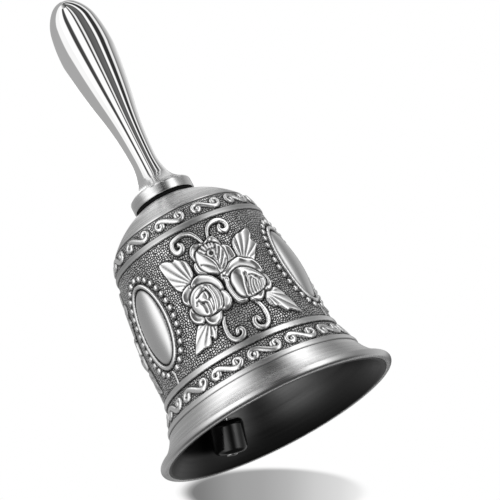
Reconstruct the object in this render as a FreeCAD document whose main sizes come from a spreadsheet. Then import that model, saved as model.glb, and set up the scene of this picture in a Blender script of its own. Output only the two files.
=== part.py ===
import FreeCAD, Part
import math
import os
import Sketcher

# Hand bell for a service counter: a cast bell on a polished handle, with a clapper on a link.
# +Z points up the handle, the origin is the middle of the mouth, and the rim's foot lies in z = 0.
# Lengths are in millimetres and angles in degrees.

doc = FreeCAD.newDocument("ServiceBell")

SIZES = {
    # bell casting, outside: the lip ring, then the wall from ridge to ridge up to the crown
    "mouthRadius": 31.2,
    "rimFootRadius": 32.9,
    "lipRadius": 34.0,
    "lipHeight": 1.0,
    "lipTopRadius": 33.1,
    "lipTopHeight": 2.05,
    "lipLowerRound": 1.1,
    "lipUpperRound": 1.1,
    "flareRound": 13.0,
    "ridgeFourRadius": 27.9,
    "ridgeFourBase": 8.5,
    "ridgeFourUpperRadius": 27.35,
    "ridgeFourTop": 9.7,
    "ridgeFourRound": 0.8,
    "lowerBandRound": 20.0,
    "ridgeThreeRadius": 25.2,
    "ridgeThreeBase": 15.45,
    "ridgeThreeUpperRadius": 24.95,
    "ridgeThreeTop": 16.95,
    "ridgeThreeRound": 0.9,
    "waistRound": 214.0,
    "waistRadius": 24.1,
    "waistHeight": 30.0,
    "shoulderRound": 217.0,
    "ridgeTwoRadius": 21.6,
    "ridgeTwoBase": 52.3,
    "ridgeTwoUpperRadius": 21.3,
    "ridgeTwoTop": 53.6,
    "ridgeTwoRound": 0.85,
    "upperBandRound": 37.0,
    "domeRadius": 19.4,
    "domeBase": 58.7,
    "domeRound": 30.0,
    "seatRadius": 8.5,
    "crownTop": 66.8,
    # bell casting, inside
    "crownUnderside": 64.8,
    "ceilingRadius": 8.0,
    "ceilingRound": 25.0,
    "haunchRadius": 17.0,
    "haunchHeight": 58.2,
    "haunchRound": 30.0,
    "innerShoulderRadius": 20.1,
    "innerShoulderHeight": 50.0,
    "innerWaistRadius": 22.3,
    "innerBandRadius": 23.3,
    "innerBandHeight": 15.5,
    "innerBandRound": 40.0,
    "innerFlareRadius": 26.0,
    "innerFlareHeight": 8.5,
    "innerFlareRound": 24.0,
    "screwHoleRadius": 1.6,
    # clamped stack on the crown
    "crownWasherRadius": 8.5,
    "collarBase": 67.9,
    "collarRadius": 8.85,
    "collarEdgeHeight": 70.5,
    "collarEdgeRound": 0.8,
    "collarTopRadius": 8.05,
    "collarTop": 71.3,
    # handle grip
    "footRadius": 7.9,
    "footRound": 8.3,
    "ankleRadius": 4.6,
    "ankleHeight": 75.0,
    "ankleRound": 18.2,
    "neckRadius": 3.5,
    "neckHeight": 82.0,
    "neckRound": 98.0,
    "gripLowerRadius": 5.32,
    "gripLowerHeight": 98.0,
    "gripLowerRound": 195.0,
    "gripWidestRadius": 7.7,
    "gripWidestHeight": 115.0,
    "gripUpperRound": 46.0,
    "gripShoulderRadius": 6.95,
    "gripShoulderHeight": 124.2,
    "gripShoulderRound": 13.0,
    "gripCapRadius": 3.93,
    "gripCapHeight": 130.6,
    "gripTop": 132.4,
    "gripBoreRadius": 1.55,
    "gripBoreTop": 83.5,
    # screw, washer and nut
    "screwRadius": 1.5,
    "screwTop": 83.0,
    "eyeRadius": 2.6,
    "eyeWireRadius": 0.9,
    "eyeHeight": 57.9,
    "innerWasherRadius": 4.5,
    "nutTop": 64.0,
    "nutBase": 62.0,
    "nutHalfWidth": 2.75,
    "nutBoreRadius": 1.52,
    # link and clapper, hanging straight down
    "linkRadius": 3.2,
    "linkWireRadius": 0.8,
    "wireGap": 0.2,
    "loopRadius": 2.5,
    "rodRadius": 0.9,
    "clapperLength": 49.4,
    "bobRadius": 4.7,
    "bobLength": 9.2,
    "bobEdgeRound": 1.5,
    "bobBoreRadius": 0.92,
    "rivetRadius": 1.7,
    "rivetHeight": 0.6,
    # how far link and clapper lean where the clapper rests against the wall
    "linkLean": 17.5,
    "clapperLean": 16.5,
}


def makeSheet(sizes):
    sheet = doc.addObject("Spreadsheet::Sheet", "Sizes")
    for row, (name, value) in enumerate(sizes.items(), start=1):
        sheet.set(f"A{row}", name)
        sheet.set(f"B{row}", str(value))
        sheet.setAlias(f"B{row}", name)
    doc.recompute()
    return sheet


sheet = makeSheet(SIZES)


def size(name):
    return float(sheet.get(name))


def newBody(label):
    body = doc.addObject("PartDesign::Body", label)
    body.Label = label
    return body


def newSketch(body, plane, name, height=None):
    sketch = body.newObject("Sketcher::SketchObject", name)
    origin = next(f for f in body.Origin.OriginFeatures if f.Role == plane)
    sketch.AttachmentSupport = [(origin, "")]
    sketch.MapMode = "FlatFace"
    if height is not None:
        sketch.setExpression("AttachmentOffset.Base.z", height)
    return sketch


def bind(sketch, constraint, expression):
    index = sketch.addConstraint(constraint)
    sketch.setExpression(f"Constraints[{index}]", expression)


def pinPoint(sketch, edge, end, across, up):
    # a size of None puts the point on that axis of the sketch
    if across is None:
        sketch.addConstraint(Sketcher.Constraint("PointOnObject", edge, end, -2))
    else:
        bind(sketch, Sketcher.Constraint("DistanceX", -1, 1, edge, end, size(across)), f"Sizes.{across}")
    if up is None:
        sketch.addConstraint(Sketcher.Constraint("PointOnObject", edge, end, -1))
    else:
        bind(sketch, Sketcher.Constraint("DistanceY", -1, 1, edge, end, size(up)), f"Sizes.{up}")


def arcBetween(start, finish, radius, turn):
    # turn is +1 where the outline bends to the left on its way, and -1 where it bends to the right
    chord = finish - start
    left = FreeCAD.Vector(-chord.y, chord.x, 0).normalize()
    rise = math.sqrt(radius ** 2 - (chord.Length / 2) ** 2)
    centre = (start + finish) * 0.5 + left * rise * turn
    circle = Part.Circle(centre, FreeCAD.Vector(0, 0, 1), radius)
    first, last = (start, finish) if turn > 0 else (finish, start)
    begin, end = (math.atan2(p.y - centre.y, p.x - centre.x) for p in (first, last))
    return Part.ArcOfCircle(circle, begin, end if end > begin else end + 2 * math.pi)


def capRadius(start, finish):
    # the round of an arc from start to finish whose centre lies on the axis, where finish is on the axis
    rise = finish.y - start.y
    return (rise ** 2 + start.x ** 2) / (2 * rise)


def drawOutline(sketch, steps):
    # each step is (radius, height) reached by a line, or (radius, height, round, turn) reached by an arc;
    # a round of None makes a cap, centred on the axis
    points = []
    for step in steps:
        across = size(step[0]) if step[0] else 0.0
        up = size(step[1]) if step[1] else 0.0
        points.append(FreeCAD.Vector(across, up, 0))
    ends = []
    for index, step in enumerate(steps):
        start = points[index - 1]
        finish = points[index]
        if len(step) == 4:
            radius = size(step[2]) if step[2] else capRadius(start, finish)
            edge = sketch.addGeometry(arcBetween(start, finish, radius, step[3]))
            if step[2]:
                bind(sketch, Sketcher.Constraint("Radius", edge, radius), f"Sizes.{step[2]}")
            else:
                sketch.addConstraint(Sketcher.Constraint("PointOnObject", edge, 3, -2))
            ends.append((edge, 1, 2) if step[3] > 0 else (edge, 2, 1))
        else:
            edge = sketch.addGeometry(Part.LineSegment(start, finish))
            ends.append((edge, 1, 2))
    for index, step in enumerate(steps):
        edge, _, finishEnd = ends[index]
        following, startEnd, _ = ends[(index + 1) % len(steps)]
        sketch.addConstraint(Sketcher.Constraint("Coincident", edge, finishEnd, following, startEnd))
        pinPoint(sketch, edge, finishEnd, step[0], step[1])


def revolve(body, name, steps):
    sketch = newSketch(body, "XZ_Plane", name + "Outline")
    drawOutline(sketch, steps)
    turned = body.newObject("PartDesign::Revolution", name)
    turned.Profile = sketch
    turned.ReferenceAxis = (sketch, ["V_Axis"])
    turned.Angle = 360
    return turned


def wireRing(body, name, ringRadius, wireRadius, height, axis):
    # a closed ring of round wire: axis "V_Axis" stands it in the XZ plane, "H_Axis" in the YZ plane
    sketch = newSketch(body, "XY_Plane", name + "Section", height)
    along = FreeCAD.Vector(size(ringRadius), 0, 0) if axis == "V_Axis" else FreeCAD.Vector(0, size(ringRadius), 0)
    section = sketch.addGeometry(Part.Circle(along, FreeCAD.Vector(0, 0, 1), size(wireRadius)))
    bind(sketch, Sketcher.Constraint("Radius", section, size(wireRadius)), f"Sizes.{wireRadius}")
    across, up = (ringRadius, None) if axis == "V_Axis" else (None, ringRadius)
    pinPoint(sketch, section, 3, across, up)
    ring = body.newObject("PartDesign::Revolution", name)
    ring.Profile = sketch
    ring.ReferenceAxis = (sketch, [axis])
    ring.Angle = 360
    return ring


def rodBetween(body, name, radius, base, top, boreRadius=None):
    # a straight round bar or tube on the Z axis
    sketch = newSketch(body, "XY_Plane", name + "Section", base)
    for circleSize in filter(None, (radius, boreRadius)):
        circle = sketch.addGeometry(Part.Circle(FreeCAD.Vector(), FreeCAD.Vector(0, 0, 1), size(circleSize)))
        sketch.addConstraint(Sketcher.Constraint("Coincident", circle, 3, -1, 1))
        bind(sketch, Sketcher.Constraint("Radius", circle, size(circleSize)), f"Sizes.{circleSize}")
    bar = body.newObject("PartDesign::Pad", name)
    bar.Profile = sketch
    bar.setExpression("Length", f"({top}) - ({base})")
    return bar


def bellShell():
    body = newBody("bell_shell")
    revolve(body, "Casting", [
        ("mouthRadius", None, "innerFlareRound", 1),
        ("rimFootRadius", None),
        ("lipRadius", "lipHeight", "lipLowerRound", 1),
        ("lipTopRadius", "lipTopHeight", "lipUpperRound", 1),
        ("ridgeFourRadius", "ridgeFourBase", "flareRound", -1),
        ("ridgeFourUpperRadius", "ridgeFourTop", "ridgeFourRound", 1),
        ("ridgeThreeRadius", "ridgeThreeBase", "lowerBandRound", -1),
        ("ridgeThreeUpperRadius", "ridgeThreeTop", "ridgeThreeRound", 1),
        ("waistRadius", "waistHeight", "waistRound", -1),
        ("ridgeTwoRadius", "ridgeTwoBase", "shoulderRound", 1),
        ("ridgeTwoUpperRadius", "ridgeTwoTop", "ridgeTwoRound", 1),
        ("domeRadius", "domeBase", "upperBandRound", 1),
        ("seatRadius", "crownTop", "domeRound", 1),
        ("screwHoleRadius", "crownTop"),
        ("screwHoleRadius", "crownUnderside"),
        ("ceilingRadius", "crownUnderside"),
        ("haunchRadius", "haunchHeight", "ceilingRound", -1),
        ("innerShoulderRadius", "innerShoulderHeight", "haunchRound", -1),
        ("innerWaistRadius", "waistHeight", "shoulderRound", -1),
        ("innerBandRadius", "innerBandHeight", "waistRound", 1),
        ("innerFlareRadius", "innerFlareHeight", "innerBandRound", 1),
    ])
    return body


def crownWasher():
    body = newBody("crown_washer")
    rodBetween(body, "Disc", "crownWasherRadius", "Sizes.crownTop", "Sizes.collarBase", "screwHoleRadius")
    return body


def handleCollar():
    body = newBody("handle_collar")
    revolve(body, "Ring", [
        ("screwHoleRadius", "collarBase"),
        ("collarRadius", "collarBase"),
        ("collarRadius", "collarEdgeHeight"),
        ("collarTopRadius", "collarTop", "collarEdgeRound", 1),
        ("screwHoleRadius", "collarTop"),
    ])
    return body


def handleGrip():
    body = newBody("handle_grip")
    revolve(body, "Grip", [
        ("gripBoreRadius", "collarTop"),
        ("footRadius", "collarTop"),
        ("ankleRadius", "ankleHeight", "footRound", -1),
        ("neckRadius", "neckHeight", "ankleRound", -1),
        ("gripLowerRadius", "gripLowerHeight", "neckRound", -1),
        ("gripWidestRadius", "gripWidestHeight", "gripLowerRound", 1),
        ("gripShoulderRadius", "gripShoulderHeight", "gripUpperRound", 1),
        ("gripCapRadius", "gripCapHeight", "gripShoulderRound", 1),
        (None, "gripTop", None, 1),
        (None, "gripBoreTop"),
        ("gripBoreRadius", "gripBoreTop"),
    ])
    return body


def eyeScrew():
    body = newBody("eye_screw")
    wireRing(body, "Eye", "eyeRadius", "eyeWireRadius", "Sizes.eyeHeight", "V_Axis")
    rodBetween(body, "Shank", "screwRadius", "Sizes.eyeHeight + Sizes.eyeRadius", "Sizes.screwTop")
    return body


def innerWasher():
    body = newBody("inner_washer")
    rodBetween(body, "Disc", "innerWasherRadius", "Sizes.nutTop", "Sizes.crownUnderside", "screwHoleRadius")
    return body


def lockNut():
    body = newBody("lock_nut")
    sketch = newSketch(body, "XY_Plane", "HexagonSection", "Sizes.nutBase")
    reach = size("nutHalfWidth") / math.cos(math.radians(30))
    corners = [FreeCAD.Vector(reach * math.cos(a), reach * math.sin(a), 0)
               for a in (math.radians(60 * k) for k in range(6))]
    sides = [sketch.addGeometry(Part.LineSegment(corners[k - 1], corners[k])) for k in range(6)]
    for k in range(6):
        sketch.addConstraint(Sketcher.Constraint("Coincident", sides[k - 1], 2, sides[k], 1))
    guide = sketch.addGeometry(Part.Circle(FreeCAD.Vector(), FreeCAD.Vector(0, 0, 1), reach), True)
    sketch.addConstraint(Sketcher.Constraint("Coincident", guide, 3, -1, 1))
    for side in sides:
        sketch.addConstraint(Sketcher.Constraint("PointOnObject", side, 1, guide))
    for side in sides[1:]:
        sketch.addConstraint(Sketcher.Constraint("Equal", sides[0], side))
    sketch.addConstraint(Sketcher.Constraint("PointOnObject", sides[0], 2, -1))
    bind(sketch, Sketcher.Constraint("Radius", guide, reach), "Sizes.nutHalfWidth / cos(30)")
    bore = sketch.addGeometry(Part.Circle(FreeCAD.Vector(), FreeCAD.Vector(0, 0, 1), size("nutBoreRadius")))
    sketch.addConstraint(Sketcher.Constraint("Coincident", bore, 3, -1, 1))
    bind(sketch, Sketcher.Constraint("Radius", bore, size("nutBoreRadius")), "Sizes.nutBoreRadius")
    nut = body.newObject("PartDesign::Pad", "Nut")
    nut.Profile = sketch
    nut.setExpression("Length", "Sizes.nutTop - Sizes.nutBase")
    return body


# Heights down the hanging chain, with link and clapper straight down. The link sits on the eye's
# lowest wire and the rod's loop on the link's, each with the same small gap.
EYE_FOOT = "Sizes.eyeHeight - Sizes.eyeRadius"
LINK_HEIGHT = f"{EYE_FOOT} + Sizes.eyeWireRadius + Sizes.linkWireRadius + Sizes.wireGap - Sizes.linkRadius"
LINK_FOOT = f"{LINK_HEIGHT} - Sizes.linkRadius"
LOOP_HEIGHT = f"{LINK_FOOT} + Sizes.linkWireRadius + Sizes.rodRadius + Sizes.wireGap - Sizes.loopRadius"
BOB_MIDDLE = f"{LINK_FOOT} - Sizes.clapperLength"
BOB_TOP = f"{BOB_MIDDLE} + Sizes.bobLength / 2"
BOB_BASE = f"{BOB_MIDDLE} - Sizes.bobLength / 2"


def linkRing():
    body = newBody("link_ring")
    wireRing(body, "Ring", "linkRadius", "linkWireRadius", LINK_HEIGHT, "H_Axis")
    return body


def clapperRod():
    body = newBody("clapper_rod")
    wireRing(body, "Loop", "loopRadius", "rodRadius", LOOP_HEIGHT, "V_Axis")
    rodBetween(body, "Rod", "rodRadius", BOB_BASE, f"{LOOP_HEIGHT} - Sizes.loopRadius")
    return body


def clapperBob():
    body = newBody("clapper_bob")
    block = rodBetween(body, "Block", "bobRadius", BOB_BASE, BOB_TOP, "bobBoreRadius")
    doc.recompute()
    rims = [f"Edge{index}" for index, edge in enumerate(block.Shape.Edges, start=1)
            if edge.Curve.TypeId == "Part::GeomCircle" and edge.Curve.Radius > 2 * size("bobBoreRadius")]
    rounded = body.newObject("PartDesign::Fillet", "RoundedRims")
    rounded.Base = (block, rims)
    rounded.setExpression("Radius", "Sizes.bobEdgeRound")
    return body


def bobRivet():
    # the rod's peened end: a low round head under the bob
    body = newBody("bob_rivet")
    head = rodBetween(body, "Head", "rivetRadius", f"{BOB_BASE} - Sizes.rivetHeight", BOB_BASE)
    doc.recompute()
    lowRim = min((edge.CenterOfMass.z, index) for index, edge in enumerate(head.Shape.Edges, start=1)
                 if edge.Curve.TypeId == "Part::GeomCircle")[1]
    peened = body.newObject("PartDesign::Fillet", "PeenedRim")
    peened.Base = (head, [f"Edge{lowRim}"])
    peened.setExpression("Radius", "Sizes.rivetHeight * 0.8")
    return body


def leanChain(link, clapperParts):
    # the link tilts towards +Y on the eye, and the clapper then towards -X on the link
    eyeFoot = size("eyeHeight") - size("eyeRadius")
    gap = size("wireGap")
    linkHeight = eyeFoot + size("eyeWireRadius") + size("linkWireRadius") + gap - size("linkRadius")
    linkFoot = linkHeight - size("linkRadius")
    tilt = FreeCAD.Rotation(FreeCAD.Vector(1, 0, 0), size("linkLean"))
    swing = FreeCAD.Rotation(FreeCAD.Vector(0, 1, 0), size("clapperLean"))
    onEye = FreeCAD.Placement(FreeCAD.Vector(), tilt, FreeCAD.Vector(0, 0, eyeFoot))
    onLink = FreeCAD.Placement(FreeCAD.Vector(), swing, FreeCAD.Vector(0, 0, linkFoot))
    link.Placement = onEye
    for piece in clapperParts:
        piece.Placement = onEye.multiply(onLink)
    pivot = onEye.multVec(FreeCAD.Vector(0, 0, linkFoot))
    axis = tilt.multVec(FreeCAD.Vector(0, 1, 0))
    print(f"link pivot: 0, 0, {eyeFoot:.4f}")
    print(f"clapper pivot: {pivot.x:.4f}, {pivot.y:.4f}, {pivot.z:.4f}, axis 0, {axis.y:.6f}, {axis.z:.6f}")


def exportPieces(pieces):
    failed = [o.Label for o in doc.Objects if "Invalid" in o.State or "Error" in o.State]
    if failed:
        raise RuntimeError("failed objects: " + ", ".join(failed))
    for piece in pieces:
        if piece.Shape.isNull() or not piece.Shape.isValid() or len(piece.Shape.Solids) != 1:
            raise RuntimeError(f"{piece.Label} is not one valid solid")
    os.makedirs("parts", exist_ok=True)
    for piece in pieces:
        piece.Shape.exportStep(f"parts/{piece.Label}.step")
        box = piece.Shape.optimalBoundingBox()
        print(f"{piece.Label}: {piece.Shape.Volume:.1f} mm3, z {box.ZMin:.2f} to {box.ZMax:.2f}")


fixedParts = [bellShell(), crownWasher(), handleCollar(), handleGrip(), eyeScrew(), innerWasher(), lockNut()]
link = linkRing()
clapperParts = [clapperRod(), clapperBob(), bobRivet()]
leanChain(link, clapperParts)
doc.recompute()
exportPieces(fixedParts + [link] + clapperParts)
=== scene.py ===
import math

import bpy
import numpy as np
from mathutils import Matrix, Vector


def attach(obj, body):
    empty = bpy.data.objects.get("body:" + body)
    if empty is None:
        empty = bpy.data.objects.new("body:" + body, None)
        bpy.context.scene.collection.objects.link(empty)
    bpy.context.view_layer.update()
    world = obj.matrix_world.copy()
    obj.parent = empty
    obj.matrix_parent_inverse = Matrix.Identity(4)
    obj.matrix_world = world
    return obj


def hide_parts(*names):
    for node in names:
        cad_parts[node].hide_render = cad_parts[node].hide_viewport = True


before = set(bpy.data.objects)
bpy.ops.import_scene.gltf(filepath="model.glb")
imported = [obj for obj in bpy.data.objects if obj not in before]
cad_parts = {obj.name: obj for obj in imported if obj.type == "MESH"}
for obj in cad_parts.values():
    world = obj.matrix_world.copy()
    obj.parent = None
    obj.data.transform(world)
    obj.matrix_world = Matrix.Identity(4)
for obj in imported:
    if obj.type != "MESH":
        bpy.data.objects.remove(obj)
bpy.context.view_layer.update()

mm = 0.001
print("frame loaded:", ", ".join(sorted(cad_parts)))


def arcPoints(start, finish, radius, turn, spacing):
    # points after start up to finish, on an arc that bends left for +1 and right for -1
    chord = finish - start
    length = np.hypot(*chord)
    left = np.array([-chord[1], chord[0]]) / length
    centre = (start + finish) / 2 + left * turn * math.sqrt(radius ** 2 - length ** 2 / 4)
    first = math.atan2(*(start - centre)[::-1])
    sweep = 2 * math.asin(length / 2 / radius) * turn
    count = max(2, math.ceil(abs(sweep) * radius / spacing))
    angles = first + sweep * np.arange(1, count + 1) / count
    return centre + radius * np.column_stack([np.cos(angles), np.sin(angles)])


def outlinePoints(steps):
    # steps are (radius, height, spacing) for a line or (radius, height, spacing, round, turn) for an arc
    points = [np.array(steps[0][:2], float)]
    for step in steps[1:]:
        finish = np.array(step[:2], float)
        if len(step) == 5:
            points.extend(arcPoints(points[-1], finish, step[3], step[4], step[2]))
        else:
            count = max(1, math.ceil(np.hypot(*(finish - points[-1])) / step[2]))
            start = points[-1]
            points.extend(start + (finish - start) * k / count for k in range(1, count + 1))
    return np.array(points)


def smoothCurve(points, fineness=8):
    # a Catmull-Rom curve through given points
    p = np.array(points, float)
    p = np.vstack([2 * p[0] - p[1], p, 2 * p[-1] - p[-2]])
    t = np.arange(fineness)[:, None] / fineness
    spans = []
    for a, b, c, d in zip(p, p[1:], p[2:], p[3:]):
        spans.append(0.5 * (2 * b + (c - a) * t + (2 * a - 5 * b + 4 * c - d) * t ** 2
                            + (3 * b - a - 3 * c + d) * t ** 3))
    spans.append(p[-2][None, :])
    return np.vstack(spans)


def meshPiece(name, verts, faces):
    mesh = bpy.data.meshes.new(name)
    mesh.from_pydata(np.asarray(verts).tolist(), [], faces)
    mesh.validate()
    piece = bpy.data.objects.new(name, mesh)
    bpy.context.collection.objects.link(piece)
    mesh.polygons.foreach_set("use_smooth", [True] * len(mesh.polygons))
    return piece


def lathe(name, outline, columns):
    # turns an outline of (radius, height) in millimetres: its ends on the axis become single points, and
    # one that starts off the axis closes into a ring
    turns = np.arange(columns) * 2 * math.pi / columns
    verts, rings = [], []
    for radius, height in outline:
        if radius < 1e-6:
            rings.append([len(verts)] * columns)
            verts.append((0, 0, height * mm))
        else:
            rings.append(range(len(verts), len(verts) + columns))
            verts.extend((radius * math.sin(t) * mm, -radius * math.cos(t) * mm, height * mm)
                         for t in turns)
    pairs = list(zip(rings, rings[1:]))
    if outline[0][0] > 1e-6:
        pairs.append((rings[-1], rings[0]))
    faces = []
    for low, high in pairs:
        for k in range(columns):
            corners = [low[k], low[(k + 1) % columns], high[(k + 1) % columns], high[k]]
            faces.append(list(dict.fromkeys(corners)))
    return meshPiece(name, verts, faces)


def feed(tree, socket, value):
    if isinstance(value, bpy.types.NodeSocket):
        tree.links.new(value, socket)
    else:
        socket.default_value = value


def put(tree, kind, inputs=None, **settings):
    # a shader node, linked to the sockets and set to the values in its inputs
    node = tree.nodes.new("ShaderNode" + kind)
    for key, value in settings.items():
        setattr(node, key, value)
    for key, value in (inputs or {}).items():
        feed(tree, node.inputs[key], value)
    return node


def mathNode(tree, operation, *values):
    return put(tree, "Math", dict(enumerate(values)), operation=operation).outputs[0]


def spread(tree, value, low, high, toLow=0.0, toHigh=1.0):
    return put(tree, "MapRange", {"Value": value, "From Min": low, "From Max": high,
                                  "To Min": toLow, "To Max": toHigh}).outputs["Result"]


def vectorNode(tree, operation, inputs, output=0):
    return put(tree, "VectorMath", inputs, operation=operation).outputs[output]


def times(tree, first, second):
    return mathNode(tree, "MULTIPLY", first, second)


def blendTones(tree, factor, first, second):
    # a plain number is a grey
    node = put(tree, "Mix", {"Factor": factor}, data_type="RGBA")
    slots = [s for s in node.inputs if s.type == "RGBA"]
    for slot, value in zip(slots, (first, second)):
        feed(tree, slot, grey(value) if isinstance(value, float) else value)
    return next(s for s in node.outputs if s.type == "RGBA")


def blendShaders(tree, factor, first, second):
    return put(tree, "MixShader", {0: factor, 1: first, 2: second}).outputs[0]


def objectPlace(tree):
    return put(tree, "TexCoord").outputs["Object"]


def placeParts(tree):
    # the X, Y and Z of a point, in metres
    return put(tree, "SeparateXYZ", {0: objectPlace(tree)}).outputs


def noise(tree, place, scale, detail, output=0):
    inputs = {"Vector": place, "Scale": scale, "Detail": detail}
    return put(tree, "TexNoise", inputs).outputs[output]


def grey(value, warmth=0.0):
    return (value * (1 + warmth), value, value * (1 - warmth), 1)


def nodeGroup(name, inputs, outputs):
    # an input is a number, or None for a vector
    group = bpy.data.node_groups.new(name, "ShaderNodeTree")
    for label, value in inputs.items():
        kind = "NodeSocketVector" if value is None else "NodeSocketFloat"
        socket = group.interface.new_socket(name=label, in_out="INPUT", socket_type=kind)
        if value is not None:
            socket.default_value = value
    for label in outputs:
        group.interface.new_socket(name=label, in_out="OUTPUT", socket_type="NodeSocketFloat")
    new = group.nodes.new
    return group, new("NodeGroupInput").outputs, new("NodeGroupOutput").inputs


def useGroup(tree, group, values=None):
    return put(tree, "Group", values, node_tree=group).outputs


def newMaterial(name, **fixed):
    material = bpy.data.materials.new(name)
    material.use_nodes = True
    tree = material.node_tree
    shader = tree.nodes["Principled BSDF"]
    for key, value in fixed.items():
        shader.inputs[key].default_value = value
    return material, tree, shader


def bareMaterial(name):
    material = bpy.data.materials.new(name)
    material.use_nodes = True
    material.node_tree.nodes.clear()
    return material, material.node_tree


def turnedLinesGroup():
    # fine tool marks that run round the bell's axis
    group, given, result = nodeGroup("turnedLines", {"Fineness": 2600.0, "Wander": 1.5},
                                     ["Lines", "Streaks"])
    parts = placeParts(group)
    flat = put(group, "CombineXYZ", {"X": parts["X"], "Y": parts["Y"]}).outputs[0]
    radius = vectorNode(group, "LENGTH", {0: flat}, "Value")
    around = vectorNode(group, "NORMALIZE", {0: flat})
    wander = vectorNode(group, "SCALE", {0: around, "Scale": given["Wander"]})
    along = mathNode(group, "SUBTRACT", parts["Z"], radius)
    climb = times(group, along, given["Fineness"])
    tall = put(group, "CombineXYZ", {"Z": climb}).outputs[0]
    coords = vectorNode(group, "ADD", {0: wander, 1: tall})
    group.links.new(noise(group, coords, 1.0, 3.0), result["Lines"])
    group.links.new(noise(group, coords, 0.22, 2.0), result["Streaks"])
    return group


def castGrainGroup():
    # the punched, pebbled ground of the casting: rounded grains with dark gaps, some brighter than others
    group, given, result = nodeGroup("castGrain", {"Grains": 1500.0, "Place": None},
                                     ["Grain", "Bright", "Drift"])
    place = given["Place"]
    wobble = noise(group, place, 1100.0, 1.0, "Color")
    shift = vectorNode(group, "SCALE", {0: wobble, "Scale": 0.0004})
    coords = vectorNode(group, "ADD", {0: place, 1: shift})
    cell = {"Vector": coords, "Scale": given["Grains"], "Randomness": 0.85}
    edges = put(group, "TexVoronoi", cell, voronoi_dimensions="2D", feature="DISTANCE_TO_EDGE")
    cells = put(group, "TexVoronoi", cell, voronoi_dimensions="2D", feature="F1")
    group.links.new(spread(group, edges.outputs["Distance"], 0.1, 0.27), result["Grain"])
    tone = put(group, "SeparateColor", {0: cells.outputs["Color"]}).outputs[0]
    group.links.new(spread(group, tone, 0.2, 0.9), result["Bright"])
    group.links.new(noise(group, place, 120.0, 3.0), result["Drift"])
    return group


def handlingMarksGroup():
    # hairline scratches and faint smudges on polished or smooth metal
    group, given, result = nodeGroup("handlingMarks", {"Scratches": 700.0, "Smudges": 90.0},
                                     ["Scratch", "Smudge"])
    place = objectPlace(group)
    slanted = put(group, "Mapping", {"Vector": place, "Rotation": (0.5, 0.3, 0.2),
                                     "Scale": (1.0, 1.0, 0.06)}).outputs[0]
    hair = noise(group, slanted, given["Scratches"], 4.0)
    group.links.new(spread(group, hair, 0.58, 0.72), result["Scratch"])
    cloud = noise(group, place, given["Smudges"], 3.0)
    group.links.new(spread(group, cloud, 0.4, 0.7), result["Smudge"])
    return group


turnedLines = turnedLinesGroup()
castGrain = castGrainGroup()
handlingMarks = handlingMarksGroup()


def giveSurface(tree, shader, tone, rough):
    tree.links.new(tone, shader.inputs["Base Color"])
    tree.links.new(rough, shader.inputs["Roughness"])


def bump(tree, shader, height, distance, strength=1.0, under=None):
    inputs = {"Height": height, "Distance": distance, "Strength": strength}
    if under is not None:
        inputs["Normal"] = under
    node = put(tree, "Bump", inputs)
    tree.links.new(node.outputs[0], shader.inputs["Normal"])
    return node.outputs[0]


bell = {
    "columns": 840,
    "turn": 10.8,              # degrees round the bell to the middle of the front bouquet
    "panelRadius": 23.9,       # where degrees are turned into millimetres
    "outer": [                 # radius, height, spacing, round, turn
        (32.9, 0, 0.3), (34, 1, 0.2, 1.1, 1), (33.1, 2.05, 0.2, 1.1, 1), (27.9, 8.5, 0.35, 13, -1),
        (27.35, 9.7, 0.11), (25.2, 15.45, 0.17, 20, -1), (24.95, 16.95, 0.11),
        (24.1, 30, 0.2, 214, -1), (21.6, 52.3, 0.2, 217, 1), (21.3, 53.6, 0.11),
        (19.4, 58.7, 0.17, 37, 1), (19.2, 59.1, 0.1), (8.5, 66.8, 0.35, 29, 1),
    ],
    "inner": [
        (1.6, 66.8, 1.2), (1.6, 64.8, 1), (8, 64.8, 1.2), (17, 58.2, 0.8, 25, -1),
        (20.1, 50, 1, 30, -1), (22.3, 30, 1.4, 217, -1), (23.3, 15.5, 1.2, 214, 1),
        (26, 8.5, 0.8, 40, 1), (31.2, 0, 0.5, 24, 1), (32.6, 0, 0.5),
    ],
    # height of the middle, half width and rise of each ridge, with the cut line at its foot
    "ridges": [(9.1, 0.72, 0.42), (16.15, 0.85, 0.45), (53.0, 0.85, 0.42)],
    "cuts": [(8.2, 0.16, 0.16), (15.15, 0.16, 0.16), (52.1, 0.16, 0.16), (58.75, 0.17, 0.2)],
    # lowest and highest height of the bouquets and medallions, and of the pebbled ground
    "relief": (16.0, 53.2), "sand": (9.9, 58.5), "sandRise": 0.02, "sandSeed": 7,
    "brushed": (8.0, 58.9),    # the casting is brushed below the first height and above the second
}

# how the patina lies: reaches are in rows and columns of the mesh, the rest in millimetres or shares
patina = {
    "fineReach": (2.2, 1.8), "fineDepth": 0.13, "crest": 0.1,
    "broadReach": (5.5, 5.0), "broadDepth": 0.4, "broadShare": 0.7,
    "cutDepth": 0.16, "topRidge": 0.35, "topRidgeWidth": 0.9,      # the top ridge is worn less
}

scroll = {                     # one S scroll of the bands, from its middle to the right-hand ball
    "half": [(0, 0), (1.3, -0.78), (2.45, -1.16), (3.5, -0.9), (4.05, -0.05), (3.8, 0.82), (3.0, 1.08),
             (2.35, 0.72), (2.35, 0.2)],
    "width": [0.74, 0.72, 0.68, 0.62, 0.56, 0.5, 0.5, 0.62, 0.86],
    "rise": 0.62,
    "lower": {"middle": 12.25, "pitch": 24.0, "offset": 0.6, "radius": 26.2, "scale": (1.07, 1.06),
              "zone": (9.8, 15.4)},
    "upper": {"middle": 56.15, "pitch": 30.0, "offset": 15.2, "radius": 20.3, "scale": (0.95, 0.96),
              "zone": (53.7, 58.6)},
}

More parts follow.
